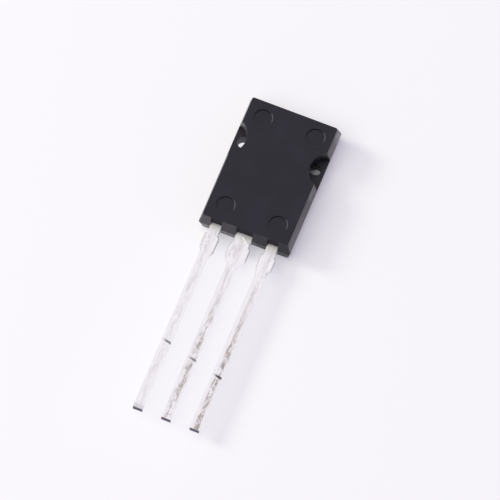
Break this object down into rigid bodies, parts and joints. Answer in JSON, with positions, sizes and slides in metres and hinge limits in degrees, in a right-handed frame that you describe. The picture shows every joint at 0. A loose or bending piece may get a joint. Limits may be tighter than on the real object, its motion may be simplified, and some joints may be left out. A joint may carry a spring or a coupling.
{
  "type": "triac",
  "caption": "Flat moulded triac with side notches, a bare metal mounting face and straight stamped leads, which switches alternating current under the control of its gate.",
  "frame": {"origin": "middle of the metal mounting face at the back of the body", "axes": "+Z out of the front face, +Y away from the leads, which point to -Y, and +X across the body to the right, seen from the front with the leads down"},
  "size_m": [0.0074, 0.0264, 0.0025],
  "materials": {
    "moulded_plastic": "finely matt moulded, dark grey",
    "tinned_metal": "tin-plated strip, satin, with brown-grey streaks and fine scratches",
    "solder": "dull solder",
    "silicon": "ground silicon",
    "sealing_glass": "fused glass",
    "bond_metal": "bare aluminium"
  },
  "bodies": {
    "root": {"moulded_body": "moulded_plastic", "main_terminal_1_lead": "tinned_metal", "main_terminal_2_lead_and_heat_spreader": "tinned_metal", "gate_lead": "tinned_metal", "chip_solder": "solder", "silicon_chip": "silicon", "passivation_glass": "sealing_glass", "main_terminal_1_metal": "bond_metal", "gate_metal": "bond_metal", "main_terminal_1_wire": "bond_metal", "gate_wire": "bond_metal"}
  },
  "joints": []
}
